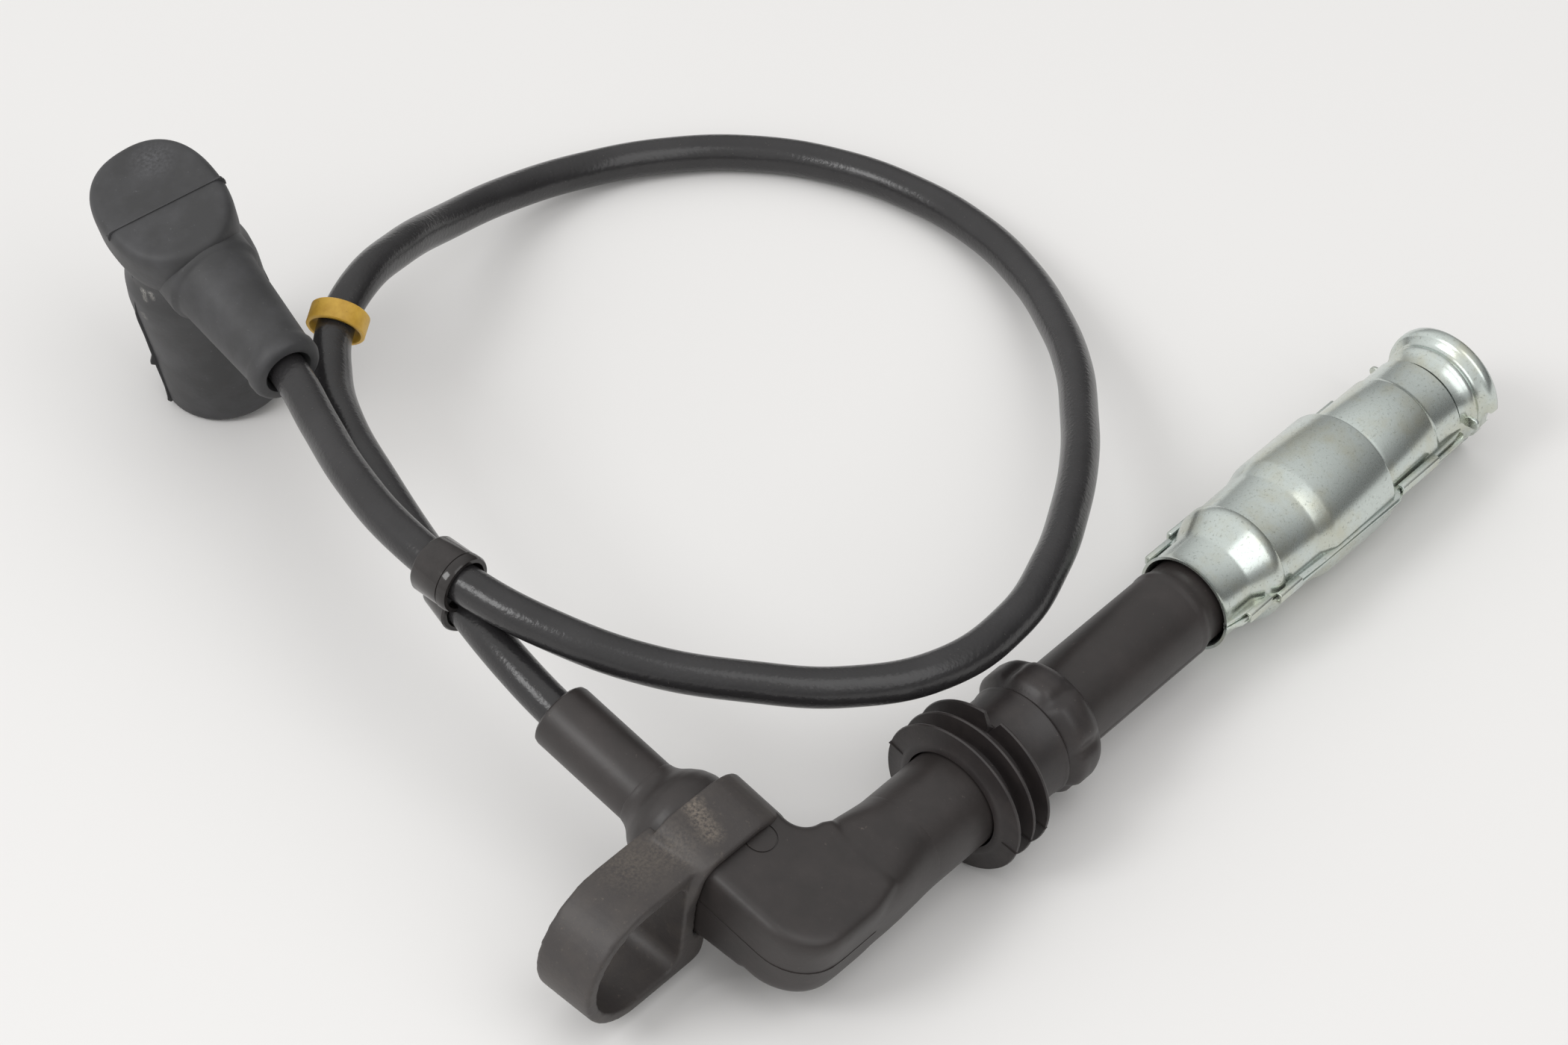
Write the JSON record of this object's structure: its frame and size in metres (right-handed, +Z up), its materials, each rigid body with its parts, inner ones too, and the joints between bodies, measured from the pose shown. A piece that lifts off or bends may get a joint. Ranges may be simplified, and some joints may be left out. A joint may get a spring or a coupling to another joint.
{
  "type": "spark plug wire",
  "caption": "Ignition lead with a long elbowed plug connector in a stamped steel shield, a looped 7 mm cable with a marker ring and a routing clip, and an angled rubber coil boot.",
  "frame": {"origin": "on the table plane, under the middle of the box of everything but the cable, its marker ring and its clip", "axes": "+X along the connector's shaft towards the spark plug, +Y from the connector towards the coil boot, +Z up from the table"},
  "size_m": [0.213, 0.2042, 0.0553],
  "materials": {
    "moulding": "satin moulded, black brown",
    "loop_rubber": "matt brown grey with tan scuffs",
    "seal_rubber": "matt black brown",
    "boot_rubber": "dusty matt dark grey",
    "throat_silicone": "satin red brown",
    "cable_jacket": "satin black",
    "zinc_steel": "zinc plated, fine speckle with yellow tints",
    "brass": "drawn",
    "spring_steel": "bright wire",
    "resistor_ceramic": "unglazed",
    "marker_yellow": "worn yellow",
    "clip_plastic": "gloss black brown"
  },
  "bodies": {
    "root": {"elbow_housing": "moulding", "elbow_contact": "brass", "contact_spring_rear": "spring_steel", "resistor_cap_rear": "brass", "resistor_rod": "resistor_ceramic", "resistor_cap_front": "brass", "contact_spring_front": "spring_steel", "plug_contact": "brass", "contact_clip": "spring_steel", "insulator_seal": "throat_silicone", "well_seal": "seal_rubber", "pull_loop": "loop_rubber", "shield_shell_upper": "zinc_steel", "shield_shell_lower": "zinc_steel", "contact_ring": "zinc_steel", "coil_boot": "boot_rubber", "coil_terminal": "brass", "lead_cable": "cable_jacket", "marker_ring": "marker_yellow", "cable_clip": "clip_plastic"}
  },
  "joints": []
}
